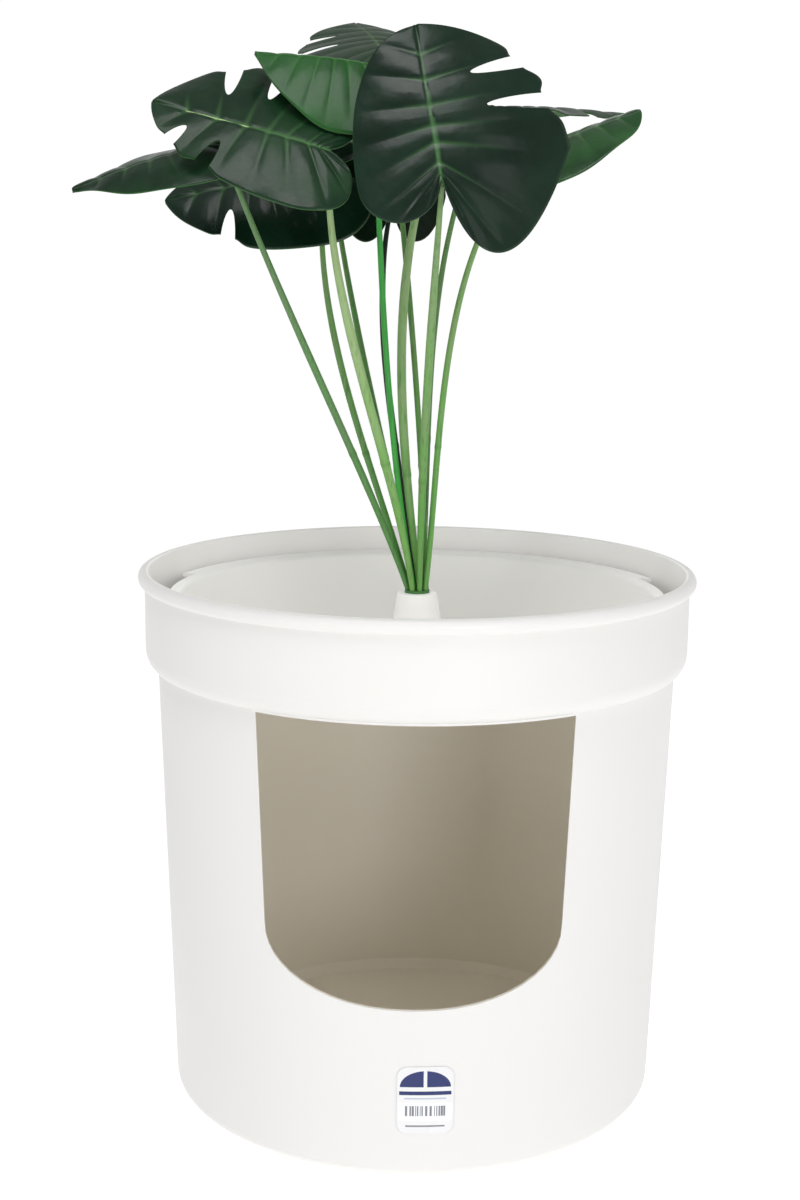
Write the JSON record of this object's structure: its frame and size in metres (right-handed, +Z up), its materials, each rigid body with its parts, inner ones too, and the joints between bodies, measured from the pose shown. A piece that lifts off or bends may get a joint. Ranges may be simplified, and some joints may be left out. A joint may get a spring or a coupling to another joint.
{
  "type": "round house planter",
  "caption": "Round pot with a doorway in its front wall, a lift-out tray under its rim and an artificial split-leaf plant plugged into the tray's central socket.",
  "frame": {"origin": "middle of the pot's underside, on the pot's own axis", "axes": "+Z up along the pot's axis, -Y out through the doorway, +X to the right of someone who faces the doorway"},
  "size_m": [0.5227, 0.48, 0.9309],
  "materials": {
    "pot_plastic": "satin moulded polypropylene",
    "tray_plastic": "satin moulded polypropylene",
    "sticker_film": "printed clear film",
    "stem_plastic": "satin moulded polyethylene over wire",
    "rib_plastic": "satin moulded polyethylene",
    "leaf_film": "glossy coated leaf"
  },
  "bodies": {
    "pot": {"pot_shell": "pot_plastic", "label_sticker": "sticker_film"},
    "tray": {"lift_out_tray": "tray_plastic"},
    "plant": {"root_plug": "stem_plastic", "stem_01": "stem_plastic", "stem_02": "stem_plastic", "stem_03": "stem_plastic", "stem_04": "stem_plastic", "stem_05": "stem_plastic", "stem_06": "stem_plastic", "stem_07": "stem_plastic", "stem_08": "stem_plastic", "stem_09": "stem_plastic", "stem_10": "stem_plastic", "stem_11": "stem_plastic", "leaf_rib_01": "rib_plastic", "leaf_rib_02": "rib_plastic", "leaf_rib_03": "rib_plastic", "leaf_rib_04": "rib_plastic", "leaf_rib_05": "rib_plastic", "leaf_rib_06": "rib_plastic", "leaf_rib_07": "rib_plastic", "leaf_rib_08": "rib_plastic", "leaf_rib_09": "rib_plastic", "leaf_rib_10": "rib_plastic", "leaf_rib_11": "rib_plastic", "leaf_blade_01": "leaf_film", "leaf_blade_02": "leaf_film", "leaf_blade_03": "leaf_film", "leaf_blade_04": "leaf_film", "leaf_blade_05": "leaf_film", "leaf_blade_06": "leaf_film", "leaf_blade_07": "leaf_film", "leaf_blade_08": "leaf_film", "leaf_blade_09": "leaf_film", "leaf_blade_10": "leaf_film", "leaf_blade_11": "leaf_film"}
  },
  "joints": [
    {"name": "tray_lift", "type": "slide", "parent": "pot", "child": "tray", "axis": [0, 0, 1], "range_m": [0, 0.13]},
    {"name": "plant_pull", "type": "slide", "parent": "tray", "child": "plant", "axis": [0, 0, 1], "range_m": [0, 0.07]}
  ]
}
